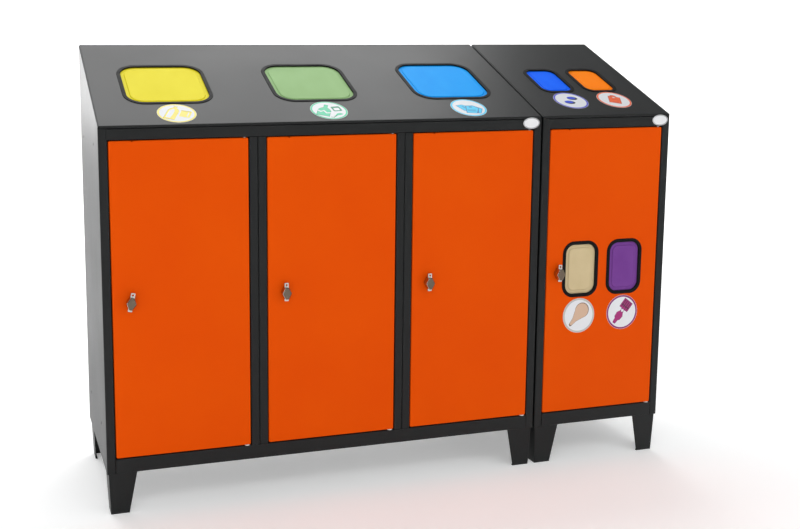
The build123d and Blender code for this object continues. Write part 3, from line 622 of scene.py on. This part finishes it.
def rowsOfHeads(name, rows, heads, sizes, finish, body):
    # domed heads whose axis lies along Y, on a piece of their own
    values = {"Pitch": sizes["pitch"], "Radius": sizes["radius"], "Height": sizes["height"],
              "Turn": (math.pi / 2, 0, 0), "Material": finish}
    finishedPiece(name, grownMesh(name, pointMesh(name, rows), heads, values), None, body)


coils, heads = coilTree(), dotTree()

# torsion springs on the flap rods
spring = {"wire": 0.7 * mm, "pitch": 1.75 * mm}
springGroups = [("topSprings", "top_flap_springs", "cabinets"),
                ("doorSprings", "door_flap_springs", "door_4")]
for name, node, body in springGroups:
    islands = islandsOf(node)
    length = islands[0]["high"].x - islands[0]["low"].x
    radius = (islands[0]["high"].z - islands[0]["low"].z) / 2
    base = pointMesh(name, [[island["centre"]] for island in islands])
    wire = spring["wire"]
    values = {"Radius": radius - wire, "Wire": wire, "Length": length - 2 * wire,
              "Turns": length / spring["pitch"], "Material": finishes["spring_steel"]}
    mesh = grownMesh(name, base, coils, values)
    finishedPiece(name, mesh, None, body, [node])
print("springs wound")

# rivets along the edges of the back panels
rivet = {"radius": 3.2 * mm, "height": 1.0 * mm, "pitch": 0.09,
         "inset": 9 * mm, "ends": 30 * mm, "edge": 12 * mm}
rows = []
for side in ("wide", "narrow"):
    low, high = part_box(side + "_back_panel")
    left, right, back = low.x + rivet["inset"], high.x - rivet["inset"], high.y
    bottom, top = low.z + rivet["ends"], high.z - rivet["ends"]
    rows += [[(x, back, bottom), (x, back, top)] for x in (left, right)]
    start, end = left + rivet["pitch"] / 2, right - rivet["pitch"] / 2
    rows += [[(start, back, z), (end, back, z)] for z in (low.z + rivet["edge"], high.z - rivet["edge"])]
rowsOfHeads("backRivets", rows, heads, rivet, finishes["zinc_steel"], "cabinets")
print("rivets set")

# spot welds on the door stiffeners' feet
weld = {"radius": 2.6 * mm, "height": 0.35 * mm, "pitch": 0.06, "inset": 6 * mm, "ends": 20 * mm}
stiffenerSheet = 1.2 * mm
for number in (1, 2, 3):
    low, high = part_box(f"door_{number}_stiffener")
    behind, bottom, top = low.y + stiffenerSheet, low.z + weld["ends"], high.z - weld["ends"]
    rows = [[(x, behind, bottom), (x, behind, top)] for x in (low.x + weld["inset"], high.x - weld["inset"])]
    coat, door = finishes["door_paint"], f"door_{number}"
    rowsOfHeads(f"door{number}Welds", rows, heads, weld, coat, door)
print("welds set")

# floor, backdrop and lights
studio = {"floorRadius": 9.0, "wall": 5.0, "cove": 1.6, "coveSteps": 8, "around": 96,
          "glow": 0.28, "sky": 0.28}
stageFinish = Finish("paleStage")
dust = stageFinish.noise(0.6, 3.0)
pale = stageFinish.blend(dust, (0.90, 0.90, 0.90, 1), (0.93, 0.93, 0.93, 1))
stageFinish.done(baseColor=pale, roughness=0.8, specularIORLevel=0.1,
                 emissionColor=(1, 1, 1, 1), emissionStrength=studio["glow"])
shell = bmesh.new()
profile = [(0.02, 0)] + [(studio["floorRadius"] * share, 0) for share in (0.2, 0.4, 0.6)]
for step in range(studio["coveSteps"] + 1):
    angle = math.pi / 2 * step / studio["coveSteps"]
    reach = studio["floorRadius"] - studio["cove"] + studio["cove"] * math.sin(angle)
    profile.append((reach, studio["cove"] * (1 - math.cos(angle))))
profile.append((studio["floorRadius"], studio["wall"]))
angles = [2 * math.pi * i / studio["around"] for i in range(studio["around"])]
rings = [[shell.verts.new((reach * math.cos(angle), reach * math.sin(angle), height)) for angle in angles]
         for reach, height in profile]
shell.faces.new(rings[0])
for inner, outer in zip(rings, rings[1:]):
    for i in range(studio["around"]):
        shell.faces.new((inner[i], inner[i - 1], outer[i - 1], outer[i])).smooth = True
bmesh.ops.recalc_face_normals(shell, faces=shell.faces)
mesh = bpy.data.meshes.new("studioFloor")
shell.to_mesh(mesh)
shell.free()
mesh.materials.append(stageFinish.material)
floor = bpy.data.objects.new("studioFloor", mesh)
bpy.context.scene.collection.objects.link(floor)

lamps = [  # place, aim, width, height, power, colour
    ("overheadBox", (0, 1.9, 3.7), (0, 0, 1.1), 3.8, 2.4, 92, (1, 1, 1)),
    ("backdropBox", (0.5, 3.2, 4.6), (1.2, 9.0, 1.6), 5.0, 2.0, 380, (1, 1, 1)),
    ("frontFloorBox", (0.3, -3.3, 3.8), (0.2, -1.9, 0), 3.2, 1.4, 26, (0.97, 1, 1)),
    ("frontLeftBox", (-2.6, -4.2, 3.4), (0, 0, 0.5), 2.2, 2.2, 37, (1, 0.99, 0.97)),
    ("frontRightBox", (3.4, -3.6, 3.0), (0, 0, 0.6), 2.0, 2.0, 14, (0.98, 0.99, 1)),
    ("leftBackBox", (-1.75, 2.7, 1.25), (-0.8, 0, 1.0), 1.0, 0.9, 12, (1, 1, 1)),
]
for name, place, aim, wide, tall, power, colour in lamps:
    lamp = bpy.data.lights.new(name, "AREA")
    lamp.shape, lamp.size, lamp.size_y, lamp.energy, lamp.color = "RECTANGLE", wide, tall, power, colour
    holder = bpy.data.objects.new(name, lamp)
    holder.location = place
    holder.visible_camera = False
    holder.rotation_euler = (Vector(aim) - Vector(place)).to_track_quat("-Z", "Y").to_euler()
    bpy.context.scene.collection.objects.link(holder)
world = bpy.data.worlds.new("softRoom")
world.use_nodes = True
sky = world.node_tree.nodes["Background"]
sky.inputs["Color"].default_value = (0.98, 0.99, 1.0, 1)
sky.inputs["Strength"].default_value = studio["sky"]
bpy.context.scene.world = world
bpy.context.scene.view_settings.view_transform = "Standard"

# camera
view = {"place": (-1.0602, -2.7393, 1.1569), "heading": 15.80, "tilt": -7.91, "roll": -0.25,
        "lens": 46.64, "sensor": 36, "shift": (0.15, -0.08)}
heading, tilt, roll = (math.radians(view[key]) for key in ("heading", "tilt", "roll"))
ahead = Vector((math.sin(heading) * math.cos(tilt), math.cos(heading) * math.cos(tilt), math.sin(tilt)))
level = Vector((math.cos(heading), -math.sin(heading), 0))
above = level.cross(ahead)
rightWay = level * math.cos(roll) + above * math.sin(roll)
upWay = above * math.cos(roll) - level * math.sin(roll)
lens = bpy.data.cameras.new("station")
lens.lens, lens.sensor_width = view["lens"], view["sensor"]
lens.shift_x, lens.shift_y = view["shift"]
camera = bpy.data.objects.new("station", lens)
turn = Matrix((rightWay, upWay, -ahead)).transposed().to_4x4()
camera.matrix_world = Matrix.Translation(view["place"]) @ turn
bpy.context.scene.collection.objects.link(camera)
bpy.context.scene.camera = camera
print("camera and lights set")
